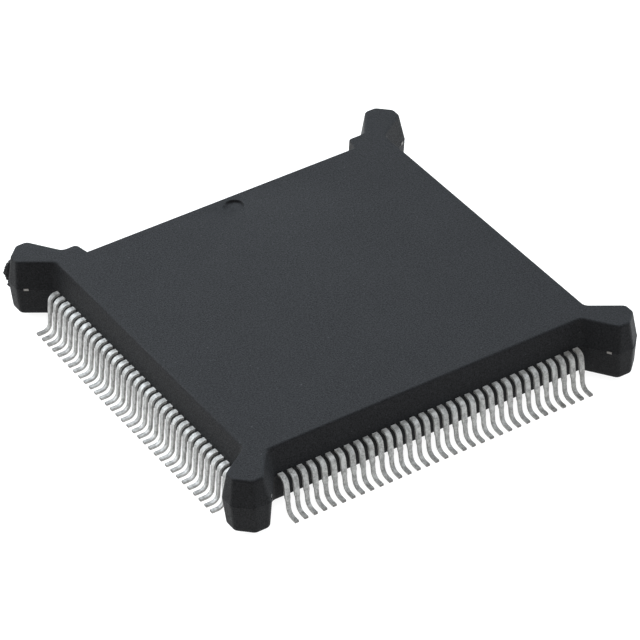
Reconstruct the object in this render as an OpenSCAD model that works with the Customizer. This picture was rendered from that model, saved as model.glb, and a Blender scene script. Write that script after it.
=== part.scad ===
// Microprocessor in a bumpered quad flat package.
// A moulded body carries gull-wing leads on all four sides and a guard bumper
// on each corner, so that the bumpers take knocks before the leads do.
// Millimetres, +Z up. The solder feet stand on z = 0 and the bevelled pin-1
// side faces +Y.

/* [Body] */
// Width across the body at the parting line
body_size = 24.13; // [23.9:0.01:30]
// Height of the top face above the board
total_height = 4.26; // [3.8:0.01:5]
// Height of the underside above the board
standoff = 0.51; // [0.3:0.01:0.8]
// Height of the parting line, at the middle of the leads' thickness
parting_height = 2.47; // [2.2:0.01:2.8]
// Draft of the sides and flanks above the parting line, in degrees
draft_above = 11; // [8:0.5:14]
// Draft of all the walls below the parting line, in degrees
draft_below = 4.5; // [3:0.5:8]
// Rounding of the top edges
top_radius = 0.15; // [0.1:0.01:0.25]
// Rounding of the bottom edges
bottom_radius = 0.26; // [0.1:0.01:0.35]

/* [Bumpers] */
// Distance that the bumper flats stand out past the body's sides
bumper_reach = 1.905; // [1.8:0.005:2.3]
// Length of each bumper flat
bumper_flat = 1.08; // [0.9:0.01:1.15]
// Cut back from the flats' corner to the diagonal end face
bumper_cut = 0.97; // [0.8:0.01:1.05]
// Flare of the bumper flanks away from the diagonal, in degrees
bumper_flare = 10.4; // [8:0.2:12]
// Draft of the bumpers' flats and ends above the parting line, in degrees
bumper_draft = 8; // [5:0.5:11]
// Fillet where a bumper's neck meets the body
neck_fillet = 0.55; // [0.2:0.05:0.7]
// Rounding of the bumpers' upright edges
bumper_radius = 0.36; // [0.1:0.01:0.4]

/* [Leads] */
// Leads on each side
leads_per_side = 33; // [17:1:33]
// Distance between neighbouring leads
lead_pitch = 0.635; // [0.5:0.005:0.64]
// Thickness of the lead frame
lead_thickness = 0.15; // [0.12:0.01:0.2]
// Width of a lead from the body down to the dam-bar step
lead_width = 0.33; // [0.28:0.01:0.38]
// Width of a lead below the dam-bar step
foot_width = 0.2; // [0.18:0.01:0.26]
// Height of the dam-bar step, where the lead narrows
step_height = 1.15; // [0.9:0.01:1.4]
// Distance from the body's side to the start of the shoulder bend
shoulder_reach = 0.195; // [0.1:0.005:0.3]
// Distance from the body's side to the lead tips
tip_reach = 1.651; // [1.5:0.001:1.8]
// Middle radius of the shoulder bend
shoulder_radius = 0.42; // [0.3:0.01:0.5]
// Middle radius of the foot bend
foot_radius = 0.5; // [0.3:0.01:0.55]
// Lean of the legs away from the upright, in degrees
leg_lean = 5.6; // [3:0.1:7]

/* [Pin-1 side] */
// Set-back of the bevel along the top face
bevel_setback = 1.13; // [0.8:0.01:1.3]
// Slope of the bevel below the top face, in degrees
bevel_slope = 45; // [42:1:55]
// Full-height wall left past each end of the bevel, to the body's side
bevel_margin = 2.465; // [2.3:0.005:4]
// Diameter of the pin-1 dimple
dimple_diameter = 1.15; // [0.8:0.01:1.3]
// Depth of the pin-1 dimple
dimple_depth = 0.12; // [0.05:0.01:0.2]
// Distance from the bevel to the dimple's middle
dimple_inset = 0.89; // [0.85:0.01:3]

/* [Inside] */
// Width of the square die paddle
paddle_size = 9.6; // [8:0.1:12]
// Drop of the paddle below the lead plane
paddle_drop = 0.3; // [0.2:0.01:0.4]
// Width of the tie bars that hold the paddle
tie_bar_width = 0.5; // [0.3:0.05:0.6]
// Width of the square die
die_size = 7.6; // [5:0.1:7.8]
// Thickness of the die
die_thickness = 0.38; // [0.3:0.01:0.45]
// Thickness of the die-attach layer
attach_thickness = 0.03; // [0.02:0.005:0.05]
// Gap from the paddle to the inner tips of the leads
tip_gap = 1.2; // [0.9:0.05:2]
// Thickness of the bond wires
wire_size = 0.03; // [0.025:0.005:0.05]
// Height of the wire loops above the die
wire_loop = 0.2; // [0.15:0.01:0.3]

/* [Hidden] */
$fn = 48;

// Reach of a cutter past the face that it opens
reach = 0.01;
// Steps in each rounded edge and each rounded corner
edge_steps = 3;
corner_steps = 4;

half_body = body_size / 2;
half_span = half_body + bumper_reach;
shoulder_start = half_body + shoulder_reach;
tip = half_body + tip_reach;
lead_bottom = parting_height - lead_thickness / 2;
lead_top = lead_bottom + lead_thickness;

// Inner leads run straight in for a short way, then fan in to a ring of tips
// that keeps its corners clear for the tie bars
fan_start = half_body - 0.85;
tip_ring = paddle_size / 2 + tip_gap;
tie_bar_room = 0.92;
row_half = (leads_per_side - 1) / 2 * lead_pitch;
fan_ratio = min(1, (tip_ring - tie_bar_room) / row_half);
inner_tip_width = lead_pitch * fan_ratio / 2;
// The formed part of a lead laps back over its flat part by this much
shoulder_lap = 0.1;

// The lead frame's corner bars run through the bumpers
corner_bar_width = 0.24;
corner_bar_cover = 0.34;
corner_bar_proud = 0.02;

// The attach layer is squeezed out past the die by this much all round
attach_margin = 0.15;
attach_size = die_size + 2 * attach_margin;
// Wires are bonded this far in from the die's edge and from the lead tips
pad_inset = 0.2;
land_inset = 0.2;
// The outermost wires leave the die this far from its corners
pad_corner = 0.51;

paddle_bottom = lead_bottom - paddle_drop;
paddle_top = paddle_bottom + lead_thickness;
die_bottom = paddle_top + attach_thickness;
die_top = die_bottom + die_thickness;

// Inset of the top face's sides from the parting line
top_inset = (total_height - parting_height) * tan(draft_above);

bevel_edge = half_body - top_inset - bevel_setback;

function unit(a) = [cos(a), sin(a)];

// A wall is [angle of its outward normal, distance from the middle].
// Two walls meet at the corner that lies on both.
function meet(a, b) =
  let (n = unit(a[0]), m = unit(b[0]), k = n.x * m.y - n.y * m.x)
    [(a[1] * m.y - b[1] * n.y) / k, (n.x * b[1] - m.x * a[1]) / k];

// Distance of a flank whose outer end is the inner end of a bumper flat
flank_angle = -45 - bumper_flare;
flank_distance = unit(flank_angle) * [half_span, half_span - bumper_cut - bumper_flat];
end_distance = (2 * half_span - bumper_cut) / sqrt(2);

// Walls round the package at the parting line, six to each quarter turn:
// side, flank, flat, end, flat and flank
walls = [
  for (quarter = [0:3])
    for (w = [
      [0, half_body],
      [flank_angle, flank_distance],
      [0, half_span],
      [45, end_distance],
      [90, half_span],
      [90 - flank_angle, flank_distance]
    ])
      [w[0] + 90 * quarter, w[1]]
];
wall_count = len(walls);
corner_radii = [
  neck_fillet, bumper_radius, bumper_radius, bumper_radius, bumper_radius, neck_fillet
];

// Smallest signed turn from one angle to another
function turn(a, b) = (b - a + 540) % 360 - 180;

// Rounded corner between walls a and b; hollow corners round the other way
function corner(a, b, r) =
  let (
    d = turn(a[0], b[0]),
    s = sign(d),
    c = meet(a, b) - s * r / cos(d / 2) * unit(a[0] + d / 2)
  )
    [for (k = [0:corner_steps]) c + s * r * unit(a[0] + d * k / corner_steps)];

// Wall i moved in: the bumpers' flats and ends by end_inset, the others by inset
function moved(i, inset, end_inset) =
  let (w = walls[i % wall_count], kind = i % 6)
    [w[0], w[1] - (kind >= 2 && kind <= 4 ? end_inset : inset)];

// Outline with its walls moved in
function outline(inset, end_inset) = [
  for (i = [0:wall_count - 1])
    each corner(
      moved(i, inset, end_inset), moved(i + 1, inset, end_inset), corner_radii[i % 6]
    )
];

// Inset at height z of a wall with the given draft, which leans in from the
// parting line and is rounded off to the flat face at height face
function wall_inset(z, face, radius, draft) =
  let (
    depth = abs(face - z),
    middle = abs(face - parting_height) * tan(draft) + radius * (1 - sin(draft)) / cos(draft)
  )
    depth < radius * (1 - sin(draft))
      ? middle - sqrt(radius ^ 2 - (radius - depth) ^ 2)
      : abs(z - parting_height) * tan(draft);

// One rounded edge of the body's section as [height, inset, end_inset] steps,
// from the walls to the flat face at height face. up is 1 for the top edge and
// -1 for the bottom edge.
function edge(face, radius, draft, end_draft, up) =
  let (lean = min(draft, end_draft))
    [
      for (k = [0:edge_steps])
        let (z = face + up * radius * (sin(lean + (90 - lean) * k / edge_steps) - 1))
          [z, wall_inset(z, face, radius, draft), wall_inset(z, face, radius, end_draft)]
    ];
function reversed(v) = [for (k = [len(v) - 1:-1:0]) v[k]];

// The body's section from the underside up to the top face
section = concat(
  reversed(edge(standoff, bottom_radius, draft_below, draft_below, -1)),
  [[parting_height, 0, 0]],
  edge(total_height, top_radius, draft_above, bumper_draft, 1)
);

// Faces of a flat cap on a ring of n points that starts at point a: one
// eight-sided middle, and strips across each bumper from its neck to its end
function cap(a, n) =
  let (m = n / 4)
    concat(
      [[for (q = [0:3]) each [a + q * m, a + (q + 1) * m - 1]]],
      [
        for (q = [0:3], k = [0:m / 2 - 2])
          let (c = a + q * m)
            [c + k, c + k + 1, c + m - 2 - k, c + m - 1 - k]
      ]
    );

// Drafted body and bumpers: the outline lofted through the section's steps
module body_loft() {
  rings = [for (s = section) [for (p = outline(s[1], s[2])) [p.x, p.y, s[0]]]];
  n = len(rings[0]);
  last = len(rings) - 1;
  polyhedron(
    points = [for (r = rings) each r],
    faces = concat(
      cap(0, n),
      [
        for (j = [0:last - 1], k = [0:n - 1])
          let (k2 = (k + 1) % n)
            [j * n + k, (j + 1) * n + k, (j + 1) * n + k2, j * n + k2]
      ],
      [for (f = cap(last * n, n)) reversed(f)]
    ),
    convexity = 10
  );
}

// Broken stub of the moulding gate on the end of the rear left bumper: its
// side view, narrowed towards the break
module gate_stub() {
  stub_width = 0.9;
  break_width = 0.3;
  stub_reach = 0.44;
  root = 0.6;
  rotate(135)
    intersection() {
      rotate([90, 0, 0])
        linear_extrude(stub_width, center = true)
          translate([end_distance, parting_height])
            polygon([
              [-root, -0.42], [0, -0.42], [0.13, -0.3], [0.12, -0.08], [0.32, 0.02],
              [stub_reach, 0.1], [0.4, 0.26], [0.33, 0.5], [0.22, 0.74], [0.02, 0.84],
              [-root, 0.84]
            ]);
      linear_extrude(total_height)
        polygon([
          [end_distance - root, -stub_width / 2], [end_distance, -stub_width / 2],
          [end_distance + stub_reach, -break_width / 2], [end_distance + stub_reach, break_width / 2],
          [end_distance, stub_width / 2], [end_distance - root, stub_width / 2]
        ]);
    }
}

// Bevel along the top edge of the pin-1 side, with splayed ends
module pin_one_bevel() {
  run = 3;
  splay = 0.18;
  end = half_body - bevel_margin;
  intersection() {
    rotate([90, 0, 90])
      linear_extrude(body_size, center = true)
        translate([bevel_edge, total_height])
          polygon([[0, 0], [run, -run * tan(bevel_slope)], [run, 1], [0, 1]]);
    linear_extrude(total_height + 2)
      polygon([
        [-end, bevel_edge - reach],
        [end, bevel_edge - reach],
        [end + splay * run, bevel_edge + run],
        [-end - splay * run, bevel_edge + run]
      ]);
  }
}

module pin_one_dimple() {
  flare = 0.1;
  translate([0, bevel_edge - dimple_inset, total_height - dimple_depth])
    cylinder(d1 = dimple_diameter - flare, d2 = dimple_diameter + flare, h = 2 * dimple_depth);
}

// Shallow round marks that the mould's ejector pins leave on the underside
module ejector_marks() {
  mark_place = half_body - 3.67;
  mark_diameter = 1.8;
  mark_depth = 0.08;
  for (x = [-1, 1], y = [-1, 1])
    translate([x * mark_place, y * mark_place, standoff - 1])
      cylinder(d = mark_diameter, h = 1 + mark_depth);
}

// Place of a lead along the front row
function lead_place(i) = i * lead_pitch - row_half;

// Plan of one lead of the front row, from its inner tip to the shoulder bend
module lead_plan(i) {
  x = lead_place(i);
  inner = x * fan_ratio;
  polygon([
    [x - lead_width / 2, -shoulder_start],
    [x - lead_width / 2, -fan_start],
    [inner - inner_tip_width / 2, -tip_ring],
    [inner + inner_tip_width / 2, -tip_ring],
    [x + lead_width / 2, -fan_start],
    [x + lead_width / 2, -shoulder_start]
  ]);
}

// Ring sector of the lead's thickness between two angles
module bend(r, a, b) {
  out = 2 * r;
  intersection() {
    difference() {
      circle(r + lead_thickness / 2);
      circle(r - lead_thickness / 2);
    }
    polygon([[0, 0], out * unit(a), out * unit((a + b) / 2), out * unit(b)]);
  }
}

// Side view of a formed lead past the shoulder bend: distance out, height.
// The leg's ends are pointed, so that they reach into the bends they join.
module lead_profile() {
  half = lead_thickness / 2;
  radii = shoulder_radius + foot_radius;
  leg = (parting_height - half - radii + radii * sin(leg_lean)) / cos(leg_lean);
  out = unit(leg_lean);
  down = unit(leg_lean - 90);
  shoulder = [shoulder_start, parting_height - shoulder_radius];
  knee = shoulder + shoulder_radius * out;
  ankle = knee + leg * down;
  heel = ankle + foot_radius * out;
  translate([shoulder_start - shoulder_lap, lead_bottom])
    square([shoulder_lap, lead_thickness]);
  translate(shoulder)
    bend(shoulder_radius, leg_lean, 90);
  polygon([
    knee + half * out, knee - 0.4 * half * down, knee - half * out,
    ankle - half * out, ankle + 0.4 * half * down, ankle + half * out
  ]);
  translate(heel)
    bend(foot_radius, 180 + leg_lean, 270);
  translate([heel.x, 0])
    square([tip - heel.x, lead_thickness]);
}

// Front view of a lead: it narrows where the dam bar was cut away
module lead_front() {
  taper = 0.12;
  polygon([
    [-lead_width / 2, parting_height + 1],
    [-lead_width / 2, step_height + taper],
    [-foot_width / 2, step_height - taper],
    [-foot_width / 2, -1],
    [foot_width / 2, -1],
    [foot_width / 2, step_height - taper],
    [lead_width / 2, step_height + taper],
    [lead_width / 2, parting_height + 1]
  ]);
}

module formed_lead() {
  intersection() {
    rotate([90, 0, -90])
      linear_extrude(lead_width, center = true)
        lead_profile();
    rotate([90, 0, 0])
      linear_extrude(2 * tip)
        lead_front();
  }
}

module lead_row(quarter) {
  color("#b7b8b6")
    rotate(90 * quarter)
      for (i = [0:leads_per_side - 1])
        union() {
          translate([0, 0, lead_bottom])
            linear_extrude(lead_thickness)
              lead_plan(i);
          translate([lead_place(i), 0, 0])
            formed_lead();
        }
}

// Tie bar along +X and the corner of the lead frame that it joins inside a
// bumper, cut off flush at the bumper's flanks, all seen from above
tie_start = (paddle_size / 2 - 0.4) * sqrt(2);
module tie_bar_plan() {
  out = half_span - corner_bar_cover;
  in = out - corner_bar_width;
  end_out = end_distance - corner_bar_cover - 0.1;
  end_in = end_out - corner_bar_width;
  cut = [flank_angle - 45, flank_distance + corner_bar_proud];
  half = [
    meet([-45, in], [0, end_in]), meet(cut, [-45, in]),
    meet(cut, [-45, out]), meet([-45, out], [0, end_out])
  ];
  polygon(concat(half, [for (p = reversed(half)) [p.x, -p.y]]));
  translate([tie_start, -tie_bar_width / 2])
    square([end_in + 0.1 - tie_start, tie_bar_width]);
}

// Side view of the same sheet along the diagonal, with the step that drops the
// paddle below the leads
module tie_bar_profile() {
  low = paddle_size / 2 * sqrt(2) + 0.2;
  high = low + paddle_drop;
  mitre = lead_thickness * tan(22.5);
  polygon([
    [0, paddle_bottom], [low, paddle_bottom],
    [high, lead_bottom], [end_distance, lead_bottom],
    [end_distance, lead_top], [high - mitre, lead_top],
    [low - mitre, paddle_top], [0, paddle_top]
  ]);
}

module tie_bar() {
  rotate(45)
    intersection() {
      rotate([90, 0, 0])
        linear_extrude(bumper_reach * 4, center = true)
          tie_bar_profile();
      linear_extrude(total_height)
        tie_bar_plan();
    }
}

module paddle_frame() {
  translate([-paddle_size / 2, -paddle_size / 2, paddle_bottom])
    cube([paddle_size, paddle_size, lead_thickness]);
  for (quarter = [0:3])
    rotate(90 * quarter)
      tie_bar();
}

// Square layer of the die stack, from one height to another
module layer(size, bottom, top) {
  translate([-size / 2, -size / 2, bottom])
    cube([size, size, top - bottom]);
}

// Loop of one bond wire from the die to a front lead. sink lengthens both ends.
module bond_wire(i, sink) {
  pad = [lead_place(i) / row_half * (die_size / 2 - pad_corner), pad_inset - die_size / 2];
  spread = fan_ratio + (1 - fan_ratio) * land_inset / (fan_start - tip_ring);
  land = [lead_place(i) * spread, -tip_ring - land_inset];
  run = norm(land - pad);
  half = wire_size / 2;
  crest = die_top + wire_loop;
  knee = run * 0.3;
  heel = run - 2 * wire_size;
  translate([pad.x, pad.y, 0])
    rotate(atan2(land.y - pad.y, land.x - pad.x))
      rotate([90, 0, 0])
        linear_extrude(wire_size, center = true)
          polygon([
            [-half, die_top - sink], [half, die_top - sink],
            [half, crest - wire_size], [knee, crest - wire_size],
            [heel, lead_top], [heel, lead_top - sink],
            [run, lead_top - sink], [run, lead_top],
            [knee + half, crest], [-half, crest]
          ]);
}

module wire_rows(sink) {
  for (quarter = [0:3])
    rotate(90 * quarter)
      for (i = [0:leads_per_side - 1])
        bond_wire(i, sink);
}

module moulded_body() {
  color("#3a3b3f")
    difference() {
      union() {
        body_loft();
        gate_stub();
      }
      pin_one_bevel();
      pin_one_dimple();
      ejector_marks();
      translate([0, 0, lead_bottom])
        linear_extrude(lead_thickness)
          for (quarter = [0:3])
            rotate(90 * quarter)
              for (i = [0:leads_per_side - 1])
                lead_plan(i);
      paddle_frame();
      layer(attach_size, paddle_top - reach, die_bottom);
      layer(die_size, die_bottom - reach, die_top);
      wire_rows(reach);
    }
}

module leads_front() {
  lead_row(0);
}

module leads_right() {
  lead_row(1);
}

module leads_rear() {
  lead_row(2);
}

module leads_left() {
  lead_row(3);
}

module die_paddle() {
  color("#c08a5a")
    paddle_frame();
}

module die_attach() {
  color("#c9c9c4")
    layer(attach_size, paddle_top, die_bottom);
}

module silicon_die() {
  color("#5d6470")
    layer(die_size, die_bottom, die_top);
}

module bond_wires() {
  color("#d9b24a")
    wire_rows(0);
}

moulded_body();
leads_front();
leads_right();
leads_rear();
leads_left();
die_paddle();
die_attach();
silicon_die();
bond_wires();
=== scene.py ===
# Looks for the microprocessor: a moulded skin for the body, formed leads, finishes, camera and studio
import math

import bpy
import numpy as np
from mathutils import Matrix, Vector
from mathutils.geometry import delaunay_2d_cdt


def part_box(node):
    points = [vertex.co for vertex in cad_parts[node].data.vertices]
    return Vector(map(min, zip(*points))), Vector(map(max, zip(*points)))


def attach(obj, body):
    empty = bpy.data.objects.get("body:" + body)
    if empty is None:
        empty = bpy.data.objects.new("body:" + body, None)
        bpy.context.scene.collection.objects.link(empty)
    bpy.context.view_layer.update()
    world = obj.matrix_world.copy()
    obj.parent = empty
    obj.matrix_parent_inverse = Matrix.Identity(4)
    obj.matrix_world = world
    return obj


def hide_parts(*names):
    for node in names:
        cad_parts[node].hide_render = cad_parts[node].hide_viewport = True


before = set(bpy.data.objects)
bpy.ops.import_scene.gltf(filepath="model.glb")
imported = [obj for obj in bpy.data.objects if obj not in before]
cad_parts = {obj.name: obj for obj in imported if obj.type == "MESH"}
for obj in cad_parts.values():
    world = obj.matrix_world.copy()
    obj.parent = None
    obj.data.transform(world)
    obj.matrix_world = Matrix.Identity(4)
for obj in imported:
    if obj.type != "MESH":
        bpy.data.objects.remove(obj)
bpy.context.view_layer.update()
scene = bpy.context.scene
mm = 0.001  # sizes below are in millimetres
print("frame loaded:", ", ".join(sorted(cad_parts)))


# sRGB hex to linear light: straight near black, then a power of 2.4
def linear(hexColour):
    srgb = np.array([int(hexColour[i:i + 2], 16) for i in (1, 3, 5)]) / 255
    light = np.where(srgb <= 0.04045, srgb / 12.92, ((srgb + 0.055) / 1.055) ** 2.4)
    return (*light.tolist(), 1.0)


# One node with its own settings; each input takes a plain value or another node's output. Mix has sockets
# of the same name, so they go by number: 0 the share, 2 and 3 the values, 6 and 7 the colours
def addNode(tree, kind, inputs=None, **settings):
    node = tree.nodes.new(kind)
    for field, value in settings.items():
        setattr(node, field, value)
    for socket, value in (inputs or {}).items():
        if isinstance(value, bpy.types.NodeSocket):
            tree.links.new(value, node.inputs[socket])
        else:
            node.inputs[socket].default_value = value
    return node


# Empty material with its object coordinates and its output node
def startMaterial(name):
    material = bpy.data.materials.new(name)
    material.use_nodes = True
    tree = material.node_tree
    tree.nodes.clear()
    place = addNode(tree, "ShaderNodeTexCoord").outputs["Object"]
    output = addNode(tree, "ShaderNodeOutputMaterial")
    return material, tree, place, output


# nearly all of a noise's values lie between these
noiseSpan = {"From Min": 0.3, "From Max": 0.7}


# Black epoxy moulding compound, cast in a spark-eroded steel mould: a dull slate black with a fine
# even grit, and a few paler flecks where the silica filler shows through the skin
compoundLook = dict(dark="#030304", pale="#202123", fleck="#353638", specular=0.12, roughness=(0.44, 0.7),
                    gritGrain=0.085, gritDetail=3.0, gritRoughness=0.6, gritHeight=0.022, gritStrength=0.5,
                    cloudGrain=5.0, cloudShare=0.25,
                    fleckGrain=0.16, fleckDetail=1.0, fleckFrom=0.74, fleckFull=0.84)


def mouldCompound(look):
    material, tree, place, output = startMaterial("blackEpoxyMouldingCompound")
    # the real grit is about 0.03 mm; it is drawn nearly three times as coarse, so that it shows
    grit = addNode(tree, "ShaderNodeTexNoise",
                   {"Vector": place, "Scale": 1 / (look["gritGrain"] * mm), "Detail": look["gritDetail"],
                    "Roughness": look["gritRoughness"]}).outputs["Fac"]
    cloud = addNode(tree, "ShaderNodeTexNoise", {"Vector": place, "Scale": 1 / (look["cloudGrain"] * mm)})
    fleck = addNode(tree, "ShaderNodeTexNoise", {"Vector": place, "Scale": 1 / (look["fleckGrain"] * mm),
                                                 "Detail": look["fleckDetail"]})
    grain = addNode(tree, "ShaderNodeMapRange", {"Value": grit, **noiseSpan})
    shade = addNode(tree, "ShaderNodeMix", {0: look["cloudShare"], 2: grain.outputs["Result"],
                                            3: cloud.outputs["Fac"]})
    colour = addNode(tree, "ShaderNodeMix", {0: shade.outputs[0], 6: linear(look["dark"]),
                                             7: linear(look["pale"])}, data_type="RGBA")
    flecked = addNode(tree, "ShaderNodeMapRange", {"Value": fleck.outputs["Fac"],
                                                   "From Min": look["fleckFrom"],
                                                   "From Max": look["fleckFull"]})
    colour = addNode(tree, "ShaderNodeMix", {0: flecked.outputs["Result"], 6: colour.outputs[2],
                                             7: linear(look["fleck"])}, data_type="RGBA")
    smooth, rough = look["roughness"]
    dull = addNode(tree, "ShaderNodeMapRange", {"Value": grit, **noiseSpan, "To Min": rough,
                                                "To Max": smooth})
    bump = addNode(tree, "ShaderNodeBump", {"Height": grit, "Strength": look["gritStrength"],
                                            "Distance": look["gritHeight"] * mm})
    surface = addNode(tree, "ShaderNodeBsdfPrincipled",
                      {"Base Color": colour.outputs[2], "Roughness": dull.outputs["Result"],
                       "Specular IOR Level": look["specular"], "Normal": bump.outputs["Normal"]})
    tree.links.new(surface.outputs["BSDF"], output.inputs["Surface"])
    return material


# Matte tin plate on formed copper alloy: a soft silvery grey with a fine crystalline mottle; the
# tips were cut off after plating, so they are duller and a little brown
tinLook = dict(pale="#b5b5b3", dark="#848482", metallic=0.35, roughness=(0.52, 0.64),
               crystal=0.09, crystalHeight=0.006, crystalStrength=0.4,
               cloudGrain=0.3, cloudDetail=1.0, mottle=(0.78, 1.22),
               cutEnd="#757371", cutDepth=0.01, cutBlend=0.008)


def tinPlate(look):
    material, tree, place, output = startMaterial("matteTinPlate")
    crystal = addNode(tree, "ShaderNodeTexNoise",
                      {"Vector": place, "Scale": 1 / (look["crystal"] * mm)}).outputs["Fac"]
    cloud = addNode(tree, "ShaderNodeTexNoise", {"Vector": place, "Scale": 1 / (look["cloudGrain"] * mm),
                                                 "Detail": look["cloudDetail"]})
    both = addNode(tree, "ShaderNodeMath", {0: crystal, 1: cloud.outputs["Fac"]}, operation="ADD")
    darkest, palest = look["mottle"]
    shade = addNode(tree, "ShaderNodeMapRange", {"Value": both.outputs["Value"], "From Min": darkest,
                                                 "From Max": palest})
    colour = addNode(tree, "ShaderNodeMix", {0: shade.outputs["Result"], 6: linear(look["dark"]),
                                             7: linear(look["pale"])}, data_type="RGBA")
    # distance out from the middle, along whichever side the lead is on
    axes = addNode(tree, "ShaderNodeSeparateXYZ", {"Vector": place})
    outX = addNode(tree, "ShaderNodeMath", {0: axes.outputs["X"]}, operation="ABSOLUTE")
    outY = addNode(tree, "ShaderNodeMath", {0: axes.outputs["Y"]}, operation="ABSOLUTE")
    out = addNode(tree, "ShaderNodeMath", {0: outX.outputs["Value"], 1: outY.outputs["Value"]},
                  operation="MAXIMUM")
    cutAt = -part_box("leads_front")[0].y - look["cutDepth"] * mm
    cut = addNode(tree, "ShaderNodeMapRange", {"Value": out.outputs["Value"], "From Min": cutAt,
                                               "From Max": cutAt + look["cutBlend"] * mm})
    colour = addNode(tree, "ShaderNodeMix", {0: cut.outputs["Result"], 6: colour.outputs[2],
                                             7: linear(look["cutEnd"])}, data_type="RGBA")
    smooth, rough = look["roughness"]
    dull = addNode(tree, "ShaderNodeMapRange", {"Value": crystal, **noiseSpan, "To Min": smooth,
                                                "To Max": rough})
    bump = addNode(tree, "ShaderNodeBump", {"Height": crystal, "Strength": look["crystalStrength"],
                                            "Distance": look["crystalHeight"] * mm})
    surface = addNode(tree, "ShaderNodeBsdfPrincipled",
                      {"Base Color": colour.outputs[2], "Roughness": dull.outputs["Result"],
                       "Metallic": look["metallic"], "Normal": bump.outputs["Normal"]})
    tree.links.new(surface.outputs["BSDF"], output.inputs["Surface"])
    return material


# Two-tone finishes for the bare cut ends of the frame and for what is sealed inside, by node
innerLooks = {
    # sheared copper alloy: a dull grey metal with a faintly brown, smeared grain
    "die_paddle": dict(name="shearedCopperAlloy", dark="#6a6866", pale="#868380", grain=0.08,
                       metallic=1.0, roughness=0.45),
    # silver-filled epoxy, dispensed and cured: a pale matte paste
    "die_attach": dict(name="silverFilledEpoxy", dark="#8d8d89", pale="#b3b3ae", grain=0.05,
                       metallic=0.3, roughness=0.5),
    # polished silicon: a dark blue-grey mirror
    "silicon_die": dict(name="polishedSilicon", dark="#4a505b", pale="#5f6673", grain=0.4,
                        metallic=0.6, roughness=0.15),
    # drawn gold wire: a bright warm yellow with fine draw marks
    "bond_wires": dict(name="drawnGoldWire", dark="#d6a73d", pale="#ecc866", grain=0.05,
                       metallic=1.0, roughness=0.25),
}
innerBump = dict(strength=0.2, height=0.003)


def twoTone(look, relief):
    material, tree, place, output = startMaterial(look["name"])
    mottle = addNode(tree, "ShaderNodeTexNoise",
                     {"Vector": place, "Scale": 1 / (look["grain"] * mm)}).outputs["Fac"]
    colour = addNode(tree, "ShaderNodeMix", {0: mottle, 6: linear(look["dark"]), 7: linear(look["pale"])},
                     data_type="RGBA")
    bump = addNode(tree, "ShaderNodeBump", {"Height": mottle, "Strength": relief["strength"],
                                            "Distance": relief["height"] * mm})
    surface = addNode(tree, "ShaderNodeBsdfPrincipled",
                      {"Base Color": colour.outputs[2], "Roughness": look["roughness"],
                       "Metallic": look["metallic"], "Normal": bump.outputs["Normal"]})
    tree.links.new(surface.outputs["BSDF"], output.inputs["Surface"])
    return material


compound = mouldCompound(compoundLook)
tin = tinPlate(tinLook)
finishes = [compound, tin]
for name, look in innerLooks.items():
    finish = twoTone(look, innerBump)
    finishes.append(finish)
    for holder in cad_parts[name].material_slots:
        holder.material = finish
print("finishes made:", ", ".join(finish.name for finish in finishes))


# edges that turn by more than this are drawn sharp
sharpAngle = math.radians(28)


# Object from points in millimetres and faces, which shade smoothly apart from the sharp edges
def meshPiece(name, points, faces, finish):
    mesh = bpy.data.meshes.new(name)
    mesh.from_pydata((points * mm).tolist(), [], faces)
    mesh.set_sharp_from_angle(angle=sharpAngle)
    mesh.materials.append(finish)
    piece = bpy.data.objects.new(name, mesh)
    scene.collection.objects.link(piece)
    return piece


# Quads between neighbouring rings of a closed tube, facing out where the rings go up and turn left
def tubeFaces(first, rings, count):
    j = np.arange(rings - 1)[:, None] * count + first
    k = np.arange(count)[None]
    k2 = (k + 1) % count
    return np.stack([j + k, j + k2, j + count + k2, j + count + k], -1).reshape(-1, 4)


# Moulded body; its span, bottom and top come from the frame. Drafts and the flare are in degrees
bodyShape = dict(
    halfBody=12.065, bumperFlat=1.08, bumperCut=0.97, bumperFlare=10.4,
    neckRadius=0.55, bumperRadius=0.36, topRadius=0.15, bottomRadius=0.26,
    parting=2.47, sideDraft=11, bumperDraft=8, lowerDraft=4.5,
    bevelSetback=1.07, bevelEnds=(-9.68, 9.44), bevelSplay=0.18, bevelLip=0.15, bevelSoft=0.05,
    shoulderRadius=0.25,
    dimpleAcross=0.05, dimpleInset=0.98, dimpleRadius=0.64, dimpleDepth=0.14,
    markPlace=8.395, markRadius=0.9, markDepth=0.08,
    # recess profile from lip to floor: distances out from its radius, and shares of its depth
    lipOut=(0.035, 0.015, 0, -0.018, -0.045, -0.065, -0.09, -0.13),
    lipSunk=(0, 0.03, 0.12, 0.3, 0.75, 0.92, 0.99, 1), lipSegments=48,
    # flash: its waves as counts round the body and phases, then its usual, varying and least share of its
    # reach, and its rings as shares of half its height
    flashReach=0.035, flashHalf=0.03, flashWaves=((23, 1), (37, 0), (61, 2)),
    flashUsual=0.45, flashVary=0.6, flashLeast=0.1, flashRings=(-1, -0.3, 0.3, 1),
    # steps on the plan's arcs, on the rounded edges and on short runs, and the rim of each flat face
    arcSteps=7, edgeSteps=7, shortSteps=6, rim=0.03,
    # long runs, in shares of half their length: widely spaced near the middle, closely near the ends
    wideTo=0.86, wideSteps=10, closeSpan=(0.87, 0.995), closeSteps=28,
    # rings of the walls, between the bottom, the parting line, the bevel's foot and the top: the distances
    # of the first and last from these, and how many there are
    lowerRings=(0.4, 0.06, 5), seamRings=(0.06, 0.15, 3), footRings=(0.12, 0.12, 9),
    bevelRings=(0.16, 0.2, 12))


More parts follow.
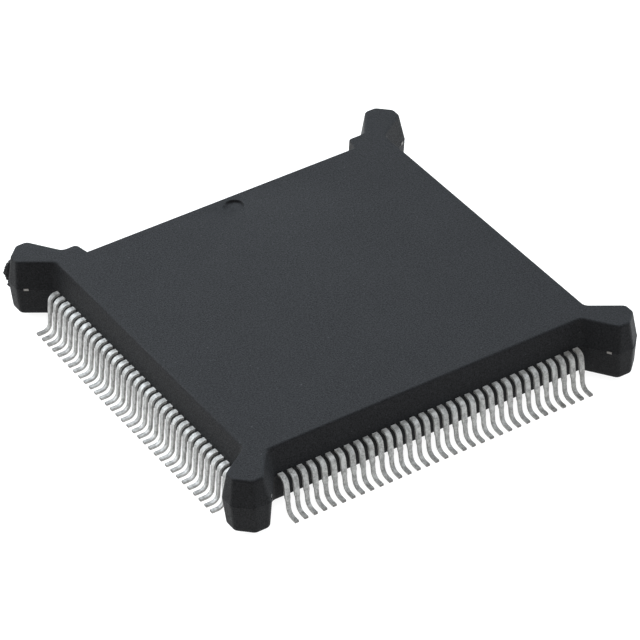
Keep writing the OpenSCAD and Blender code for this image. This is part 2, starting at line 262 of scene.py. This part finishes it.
# Plan of the mould: walls at set angles, moved in by one inset for the sides and the bumpers' flanks and
# by another for the bumpers' flats and ends. Where two walls meet there is an arc: their crossing point,
# back along the half angle by radius over cosine, then out by the radius at an angle that goes from one
# wall's normal to the next. Straight runs join the arcs, and the long ones are sampled closely near
# their ends. Also returns which points of a quarter are the long run, which is the pin-1 side in the first
def bodyPlan(shape, span, sideInset, bumperInset):
    quarter = math.pi / 2
    flank = math.radians(-45 - shape["bumperFlare"])
    flankOut = math.cos(flank) * span + math.sin(flank) * (span - shape["bumperCut"] - shape["bumperFlat"])
    # a quarter's walls in turn: side, flank, flat, end, flat, flank
    normals = np.array([0, flank, 0, quarter / 2, quarter, quarter - flank])
    outs = np.array([shape["halfBody"], flankOut, span, endDistance(shape, span), span, flankOut])
    insets = np.array([sideInset, sideInset, bumperInset, bumperInset, bumperInset, sideInset])
    radii = np.array([shape["neckRadius"]] + [shape["bumperRadius"]] * 4 + [shape["neckRadius"]])
    walls = len(normals)
    a = (normals + quarter * np.arange(4)[:, None]).ravel()
    out = np.tile(outs - insets, 4)
    b, outB = np.roll(a, -1), np.roll(out, -1)
    turn = (b - a + np.pi) % (2 * np.pi) - np.pi
    half = a + turn / 2
    hand = np.sign(turn) * np.tile(radii, 4)
    corner = np.stack([out * np.sin(b) - outB * np.sin(a), outB * np.cos(a) - out * np.cos(b)], -1)
    corner = corner / np.sin(b - a)[:, None]
    centre = corner - (hand / np.cos(turn / 2))[:, None] * np.stack([np.cos(half), np.sin(half)], -1)
    along = a[:, None] + turn[:, None] * np.linspace(0, 1, shape["arcSteps"] + 1)
    arcs = centre[:, None] + hand[:, None, None] * np.stack([np.cos(along), np.sin(along)], -1)
    start, stop = arcs[:, -1:], np.roll(arcs, -1, axis=0)[:, :1]
    short = np.linspace(0, 1, shape["shortSteps"] + 2)[1:-1, None]
    fromMiddle = np.concatenate([np.linspace(0, shape["wideTo"], shape["wideSteps"]),
                                 np.linspace(*shape["closeSpan"], shape["closeSteps"])])
    long = 0.5 + 0.5 * np.concatenate([-fromMiddle[:0:-1], fromMiddle])[:, None]
    arcs = arcs.reshape(4, walls, -1, 2)
    shortRuns = (start + (stop - start) * short).reshape(4, walls, -1, 2)[:, :-1]
    longRuns = (start + (stop - start) * long).reshape(4, walls, -1, 2)[:, -1]
    bumpers = np.concatenate([arcs[:, :-1], shortRuns], axis=2).reshape(4, -1, 2)
    quarters = np.concatenate([bumpers, arcs[:, -1], longRuns], axis=1)
    longRun = np.arange(quarters.shape[1] - len(long), quarters.shape[1])
    return quarters.reshape(-1, 2), longRun


# Distance of a bumper's end face along the diagonal: twice the span less the corner's cut, over root two
def endDistance(shape, span):
    return (2 * span - shape["bumperCut"]) / math.sqrt(2)


# Place in Y of the bevel's upper edge, and height of its foot: where a plane at 45 degrees from that
# edge meets the drafted wall
def bevelLines(shape, top):
    slope = math.tan(math.radians(shape["sideDraft"]))
    edge = shape["halfBody"] - (top - shape["parting"]) * slope - shape["bevelSetback"]
    return edge, top - shape["bevelSetback"] / (1 - slope)


# Heights of the section's rings: evenly spaced on the walls and about the bevel's foot, four at the flash,
# and on the rounded edges at the radius times one less the sine of an even turn
def sectionHeights(shape, bottom, top):
    tilt = np.radians(np.linspace(shape["lowerDraft"], 90, shape["edgeSteps"] + 1))
    rounded = 1 - np.sin(tilt)
    seam, foot = shape["parting"], bevelLines(shape, top)[1]
    above, below, lowerCount = shape["lowerRings"]
    lower = np.linspace(bottom + above, seam - below, lowerCount)
    above, below, seamCount = shape["seamRings"]
    overSeam = np.linspace(seam + above, foot - below, seamCount)
    below, above, footCount = shape["footRings"]
    roundFoot = np.linspace(foot - below, foot + above, footCount)
    above, below, bevelCount = shape["bevelRings"]
    beside = np.linspace(foot + above, top - below, bevelCount)
    return np.concatenate([bottom + shape["bottomRadius"] * rounded[::-1], lower,
                           seam + shape["flashHalf"] * np.array(shape["flashRings"]), overSeam, roundFoot,
                           beside, top - shape["topRadius"] * rounded])


# Inset of a drafted wall at each height: distance from the parting line times the draft's slope, and
# near a flat face a round whose centre lies one edge radius inside that face
def wallInset(shape, z, bottom, top, upperDraft):
    upper = z >= shape["parting"]
    tilt = np.radians(np.where(upper, upperDraft, shape["lowerDraft"]))
    face = np.where(upper, top, bottom)
    radius = np.where(upper, shape["topRadius"], shape["bottomRadius"])
    depth = np.abs(face - z)
    middle = np.abs(face - shape["parting"]) * np.tan(tilt) + radius * (1 - np.sin(tilt)) / np.cos(tilt)
    rounded = middle - np.sqrt(np.maximum(radius ** 2 - (radius - depth) ** 2, 0))
    straight = np.abs(z - shape["parting"]) * np.tan(tilt)
    return np.where(depth < radius * (1 - np.sin(tilt)), rounded, straight)


# Smaller of two surfaces with a soft change between them: half their sum, less half a hypotenuse
def softMin(a, b, soft):
    return (a + b - np.sqrt((a - b) ** 2 + soft ** 2)) / 2


# Reach in Y of the pin-1 side with its bevel cut: a plane at 45 degrees with a rounded upper lip. Past
# each end a steep line climbs from the bevel to the wall, and turns into the wall round an arc
def bevelled(shape, x, wall, depth, edge):
    lip = shape["bevelLip"]
    tangent = lip * math.tan(math.pi / 8)
    rounded = np.sqrt(np.maximum(lip ** 2 - (lip - depth) ** 2, 0)) - tangent
    plane = np.where(depth < tangent / math.sqrt(2), rounded, depth)
    slope = softMin(wall, edge + plane, shape["bevelSoft"])
    left, right = shape["bevelEnds"]
    past = np.abs(x - (left + right) / 2) - (right - left) / 2
    splay, arc = shape["bevelSplay"], shape["shoulderRadius"]
    middle = splay * (wall - arc - edge) + arc * math.hypot(1, splay)
    onArc = wall - arc + np.sqrt(np.maximum(arc ** 2 - (middle - past) ** 2, 0))
    climb = np.where(past > middle - arc / math.hypot(1, splay), onArc, edge + past / splay)
    shoulder = np.where(past >= middle, wall, climb)
    return np.minimum(wall, -softMin(-slope, -shoulder, shape["bevelSoft"]))


# Rings of the body from the underside to the top face: the plan at each height, moved in by that height's
# insets. It moves in a straight line as the insets grow, so a step of one gives the direction. The flash
# moves it out again by the product of two sines round the body, and half of a third
def bodyRings(shape, span, bottom, top):
    plan, longRun = bodyPlan(shape, span, 0, 0)
    sideStep = bodyPlan(shape, span, 1, 0)[0] - plan
    bumperStep = bodyPlan(shape, span, 0, 1)[0] - plan
    z = sectionHeights(shape, bottom, top)
    side = wallInset(shape, z, bottom, top, shape["sideDraft"])
    bumper = wallInset(shape, z, bottom, top, shape["bumperDraft"])
    # one more ring on each flat face, so that its edge shades smoothly
    z, side, bumper = (np.pad(v, 1, mode="edge") for v in (z, side, bumper))
    grow = np.zeros((len(z), 1))
    grow[[0, -1]] = shape["rim"]
    # the flash stands out on the two middle rings of the parting line
    around = np.arctan2(plan[:, 1], plan[:, 0])
    waves = [np.sin(count * around + phase) for count, phase in shape["flashWaves"]]
    ragged = waves[0] * waves[1] + waves[2] / 2
    share = np.clip(shape["flashUsual"] + shape["flashVary"] * ragged, shape["flashLeast"], 1)
    atSeam = np.abs(z - shape["parting"]) < shape["flashHalf"] / 2
    move = grow - shape["flashReach"] * share * atSeam[:, None]
    sideMove, bumperMove = (side[:, None] + move)[..., None], (bumper[:, None] + move)[..., None]
    xy = np.clip(plan + sideMove * sideStep + bumperMove * bumperStep, -span, span)
    x, wall, depth = xy[:, longRun, 0], xy[:, longRun, 1], (top - z)[:, None]
    edge = bevelLines(shape, top)[0]
    xy[:, longRun, 1] = bevelled(shape, x, wall, depth, edge - grow)
    return np.concatenate([xy, np.broadcast_to(z[:, None, None], xy.shape[:2] + (1,))], -1)


# Shallow round recess: a profile with a rounded lip, a steep wall and a filleted floor, turned about its
# middle. depth is below zero for a recess that goes down and above zero for one that goes up
def recess(shape, middle, height, radius, depth):
    angle = np.linspace(0, 2 * np.pi, shape["lipSegments"], endpoint=False)
    ring = (radius + np.array(shape["lipOut"]))[:, None]
    x = middle[0] + ring * np.cos(angle)
    y = middle[1] + ring * np.sin(angle)
    return np.stack([x, y, height + depth * np.array(shape["lipSunk"])[:, None] + 0 * x], -1)


# Broken stub of the gate on a bumper's end, with a crumb of it below; heights are from the parting line.
# Waves are counts round the stub and radians per millimetre up it
gateStub = dict(direction=135, width=0.42, sink=0.35, rough=0.05, segments=28, rings=32,
                blunt=0.6, taper=0.35, waves=((5, 9), (3, -14), (8, 17)), fineShare=0.6,
                heights=[-0.72, -0.62, -0.5, -0.38, -0.28, -0.1, 0.05, 0.2,
                         0.3, 0.45, 0.6, 0.75, 0.9, 1.0, 1.08],
                reaches=[0, 0.22, 0.24, 0.1, 0.16, 0.3, 0.36, 0.41,
                         0.42, 0.37, 0.28, 0.23, 0.12, 0.02, -0.1])


# At each height an oval: its front half reaches out by a rough profile times a power of the cosine, crumbled
# by a product of sines and a finer one, and its back half is sunk in the end of the bumper. Its width
# tapers with the cube of the height
def stubRings(stub, endOut, parting):
    turn = np.linspace(0, 2 * np.pi, stub["segments"], endpoint=False)
    rise = np.linspace(stub["heights"][0], stub["heights"][-1], stub["rings"])[:, None]
    reach = np.interp(rise, stub["heights"], stub["reaches"])
    waves = [np.sin(around * turn + upward * rise) for around, upward in stub["waves"]]
    crumble = waves[0] * waves[1] + stub["fineShare"] * waves[2]
    front = np.cos(turn)
    broken = (reach + stub["rough"] * crumble) * np.abs(front) ** stub["blunt"]
    out = np.where(front > 0, broken, stub["sink"] * front)
    taper = 1 - stub["taper"] * np.abs(rise / stub["heights"][-1]) ** 3
    across = stub["width"] * taper * (1 + stub["rough"] * crumble) * np.sin(turn)
    a = math.radians(stub["direction"])
    x = (endOut + out) * math.cos(a) - across * math.sin(a)
    y = (endOut + out) * math.sin(a) + across * math.cos(a)
    return np.stack([x, y, parting + rise + 0 * x], -1)


# Triangles of a flat face inside its first loop of points, less those that fill its round holes
def flatFaces(points, loops, up):
    order = np.concatenate(loops)
    owner = np.repeat(np.arange(len(loops)), [len(loop) for loop in loops])
    here = np.arange(len(order))
    following = np.concatenate([np.roll(here[owner == i], -1) for i in range(len(loops))])
    edges = np.stack([here, following], -1)
    onlyInside, weld = 1, 1e-7
    filled = delaunay_2d_cdt(points[order, :2].tolist(), edges.tolist(), [], onlyInside, weld)
    triangles = np.array(filled[3])[:, 0][np.array(filled[2])]
    owners = owner[triangles]
    inHole = (owners[:, 0] > 0) & (owners == owners[:, :1]).all(axis=1)
    return order[triangles[~inHole][:, ::up]].tolist()


# The shell, the recesses and the stub are tubes of rings, and flat faces close them
def buildBody(shape, stub):
    low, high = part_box("moulded_body")
    bottom, top, span = low.z / mm, high.z / mm, high.x / mm
    shell = bodyRings(shape, span, bottom, top)
    dimplePlace = (shape["dimpleAcross"], bevelLines(shape, top)[0] - shape["dimpleInset"])
    dimple = recess(shape, dimplePlace, top, shape["dimpleRadius"], -shape["dimpleDepth"])
    corners = [(x, y) for x in (-shape["markPlace"], shape["markPlace"])
               for y in (-shape["markPlace"], shape["markPlace"])]
    marks = [recess(shape, place, bottom, shape["markRadius"], shape["markDepth"]) for place in corners]
    lump = stubRings(stub, endDistance(shape, span), shape["parting"])
    points, faces, flat, total = [], [], [], 0
    topLoops, bottomLoops = [], []
    # a recess in the underside is wound the other way from the rest
    for tube, wind in [(shell, 1), (dimple, 1)] + [(mark, -1) for mark in marks] + [(lump, 1)]:
        rings, count = tube.shape[:2]
        faces += tubeFaces(total, rings, count)[:, ::wind].tolist()
        first, last = total + np.arange(count), total + (rings - 1) * count + np.arange(count)
        if tube is shell:
            bottomLoops.append(first)
            topLoops.append(last)
        elif tube is lump:
            flat += [first[::-1].tolist(), last.tolist()]
        else:
            flat.append(last[::wind].tolist())
            (topLoops if wind == 1 else bottomLoops).append(first)
        points.append(tube.reshape(-1, 3))
        total += rings * count
    points = np.concatenate(points)
    flat += flatFaces(points, topLoops, 1) + flatFaces(points, bottomLoops, -1)
    body = meshPiece("mouldedBody", points, faces + flat, compound)
    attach(body, "root")
    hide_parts("moulded_body")
    return body


body = buildBody(bodyShape, gateStub)
print("body skinned:", len(body.data.polygons), "faces")


# Leads, stamped from strip and formed; their tips come from the frame, and they leave the body at its
# parting line. Deep in the body they fan in to a ring round the die. The lean is in degrees
leadShape = dict(count=33, pitch=0.635, thickness=0.15, width=0.34, footWidth=0.25, edge=0.008,
                 stepHeight=1.1, stepHalf=0.17, stepMargin=1.2, shoulderReach=0.195, shoulderRadius=0.42,
                 footRadius=0.5, lean=5.6, fanDepth=0.85, fanRing=6.0, fanRatio=0.5, fanMetal=0.5,
                 bendSteps=12, stepSteps=9)


# Middle line of a lead as distance out, height and tilt of the strip's normal: flat out of the body, round
# the shoulder on an arc, down the leaning leg, round the foot's arc, then flat to the tip. The leg drops by
# what the two arcs leave of the height, and runs out by the tangent of its lean
def leadLine(shape, halfBody, parting, tip):
    lean, half = math.radians(shape["lean"]), shape["thickness"] / 2
    start, upper, lower = halfBody + shape["shoulderReach"], shape["shoulderRadius"], shape["footRadius"]
    over = np.linspace(math.pi / 2, lean, shape["bendSteps"] + 1)
    under = over[::-1]
    kneeOut, kneeHeight = start + upper * math.cos(lean), parting - upper * (1 - math.sin(lean))
    stepReach = shape["stepMargin"] * shape["stepHalf"]
    legHeight = shape["stepHeight"] + np.linspace(stepReach, -stepReach, shape["stepSteps"])
    ankleHeight = half + lower * (1 - math.sin(lean))
    heel = kneeOut + (kneeHeight - ankleHeight) * math.tan(lean) + lower * math.cos(lean)
    flatOut = np.array([shape["fanRing"], halfBody - shape["fanDepth"], halfBody])
    out = np.concatenate([flatOut, start + upper * np.cos(over),
                          kneeOut + (kneeHeight - legHeight) * math.tan(lean),
                          heel - lower * np.cos(under), [tip]])
    height = np.concatenate([0 * flatOut + parting, parting - upper * (1 - np.sin(over)), legHeight,
                             half + lower * (1 - np.sin(under)), [half]])
    tilt = np.concatenate([0 * flatOut + math.pi / 2, over, 0 * legHeight + lean, under, [math.pi / 2]])
    return out, height, tilt


# One row of leads along -Y: a strip with chamfered edges about the middle line. Its half width eases from
# the lead's to the foot's at the dam-bar step, as t squared times three less two t, and it narrows in a
# straight line to the inner tip
def leadRow(shape, halfBody, parting, tip):
    out, height, tilt = leadLine(shape, halfBody, parting, tip)
    below = (shape["stepHeight"] + shape["stepHalf"] - height) / (2 * shape["stepHalf"])
    t = np.clip(below, 0, 1)
    halfWidth = (shape["width"] + (shape["footWidth"] - shape["width"]) * t * t * (3 - 2 * t)) / 2
    halfWidth[0] = shape["pitch"] * shape["fanRatio"] * shape["fanMetal"] / 2
    spread = np.ones_like(out)
    spread[0] = shape["fanRatio"]
    half, edge = shape["thickness"] / 2, shape["edge"]
    # eight points round the strip, two for each chamfer
    across = halfWidth[:, None] * np.array([1, 1, -1, -1, -1, -1, 1, 1])
    across = across - edge * np.array([0, 1, -1, 0, 0, -1, 1, 0])
    through = half * np.array([1, 1, 1, 1, -1, -1, -1, -1]) - edge * np.array([1, 0, 0, 1, -1, 0, 0, -1])
    place = (np.arange(shape["count"]) - (shape["count"] - 1) / 2) * shape["pitch"]
    x = place[:, None, None] * spread[:, None] + across
    y = -(out[:, None] + through * np.cos(tilt)[:, None])
    z = height[:, None] + through * np.sin(tilt)[:, None]
    return np.stack([x, y + 0 * x, z + 0 * x], -1)


# The four rows are the same row, turned by quarters
def buildLeads(shape, body):
    tip = -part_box("leads_front")[0].y / mm
    row = leadRow(shape, body["halfBody"], body["parting"], tip)
    count, rings, around = row.shape[:3]
    first = (np.arange(count) * rings * around)[:, None]
    walls = (tubeFaces(0, rings, around) + first[..., None]).reshape(-1, 4).tolist()
    inner = (np.arange(around)[::-1] + first).tolist()
    outer = ((rings - 1) * around + np.arange(around) + first).tolist()
    faces = walls + inner + outer
    x, y, z = np.moveaxis(row, -1, 0)
    rows = []
    for name, (c, s) in {"front": (1, 0), "right": (0, 1), "rear": (-1, 0), "left": (0, -1)}.items():
        turned = np.stack([c * x - s * y, s * x + c * y, z], -1).reshape(-1, 3)
        leads = meshPiece(name + "Leads", turned, faces, tin)
        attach(leads, "root")
        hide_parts("leads_" + name)
        rows.append(leads)
    return rows


leadRows = buildLeads(leadShape, bodyShape)
print("leads formed:", len(leadRows), "rows of", leadShape["count"])


# Camera at the photograph's angle: turned round the middle, raised, rolled, then slid in its own plane
cameraSetup = dict(azimuth=-30.638, elevation=36.847, roll=-2.575, distance=244.613,
                   lens=229.65, sensor=36, nearest=10, slideRight=-0.002, slideUp=1.225)


def addCamera(setup):
    a, e, r = (math.radians(setup[k]) for k in ("azimuth", "elevation", "roll"))
    back = Vector((math.sin(a) * math.cos(e), -math.cos(a) * math.cos(e), math.sin(e)))
    right = Vector((math.cos(a), math.sin(a), 0))
    up = back.cross(right)
    right, up = right * math.cos(r) + up * math.sin(r), up * math.cos(r) - right * math.sin(r)
    place = back * setup["distance"] + right * setup["slideRight"] + up * setup["slideUp"]
    data = bpy.data.cameras.new("photoCamera")
    data.sensor_width = setup["sensor"]
    data.lens = setup["lens"]
    data.clip_start = setup["nearest"] * mm
    camera = bpy.data.objects.new("photoCamera", data)
    scene.collection.objects.link(camera)
    camera.matrix_world = Matrix.Translation(place * mm) @ Matrix((right, up, back)).transposed().to_4x4()
    scene.camera = camera


addCamera(cameraSetup)
print("camera placed")


# Studio: a lit sweep of white acrylic, a large cool soft box behind, smaller ones at the left, at the right
# and between the right and the back, and a soft fill high in front. Boxes are in metres and watts
studio = dict(
    sweep="#8c8c8b", sweepSize=1500, sweepGlow=0.92, sweepRoughness=0.9, sweepSpecular=0.1,
    sweepGrain=0.6, sweepDetail=3.0, sweepHeight=0.01, sweepStrength=0.05, world=0.05,
    boxes=[
        dict(name="backBox", size=(0.9, 0.5), place=(-0.09, 0.5, 0.45), power=8.8, hue="#ecf5fd"),
        dict(name="leftBox", size=(0.5, 0.4), place=(-0.4, 0.45, 0.22), power=1.8, hue="#ffffff"),
        dict(name="rightBox", size=(0.5, 0.4), place=(0.55, -0.1, 0.22), power=3.7, hue="#ecf5fd"),
        dict(name="cornerBox", size=(0.4, 0.3), place=(0.5, 0.22, 0.42), power=1.8, hue="#ecf5fd"),
        dict(name="frontFill", size=(0.6, 0.6), place=(-0.15, -0.35, 0.75), power=4.0, hue="#ffffff"),
    ])


def addStudio(setup):
    half = setup["sweepSize"] / 2 * mm
    mesh = bpy.data.meshes.new("litSweep")
    corners = [(-half, -half, 0), (half, -half, 0), (half, half, 0), (-half, half, 0)]
    mesh.from_pydata(corners, [], [(0, 1, 2, 3)])
    sweep = bpy.data.objects.new("litSweep", mesh)
    scene.collection.objects.link(sweep)
    # white acrylic sheet, lit from behind: an even white glow with hardly any gloss
    material, tree, place, output = startMaterial("litWhiteAcrylic")
    white = linear("#ffffff")
    grain = addNode(tree, "ShaderNodeTexNoise", {"Vector": place, "Scale": 1 / (setup["sweepGrain"] * mm),
                                                 "Detail": setup["sweepDetail"]})
    bump = addNode(tree, "ShaderNodeBump", {"Height": grain.outputs["Fac"],
                                            "Strength": setup["sweepStrength"],
                                            "Distance": setup["sweepHeight"] * mm})
    surface = addNode(tree, "ShaderNodeBsdfPrincipled",
                      {"Base Color": linear(setup["sweep"]), "Roughness": setup["sweepRoughness"],
                       "Specular IOR Level": setup["sweepSpecular"], "Emission Color": white,
                       "Emission Strength": setup["sweepGlow"], "Normal": bump.outputs["Normal"]})
    # clear from below, so that the underside can be seen
    clear = addNode(tree, "ShaderNodeBsdfTransparent")
    below = addNode(tree, "ShaderNodeNewGeometry").outputs["Backfacing"]
    shown = addNode(tree, "ShaderNodeMixShader", {0: below, 1: surface.outputs["BSDF"],
                                                  2: clear.outputs["BSDF"]})
    tree.links.new(shown.outputs["Shader"], output.inputs["Surface"])
    mesh.materials.append(material)
    for box in setup["boxes"]:
        light = bpy.data.lights.new(box["name"], "AREA")
        light.shape = "RECTANGLE"
        light.size, light.size_y = box["size"]
        light.energy = box["power"]
        light.color = linear(box["hue"])[:3]
        lamp = bpy.data.objects.new(box["name"], light)
        scene.collection.objects.link(lamp)
        lamp.location = box["place"]
        # every box faces the object
        lamp.rotation_euler = Vector(box["place"]).to_track_quat("Z", "Y").to_euler()
    world = bpy.data.worlds.new("studioRoom")
    world.use_nodes = True
    room = world.node_tree.nodes["Background"]
    room.inputs["Color"].default_value = white
    room.inputs["Strength"].default_value = setup["world"]
    scene.world = world
    scene.view_settings.view_transform = "Standard"


addStudio(studio)
print("studio lit")
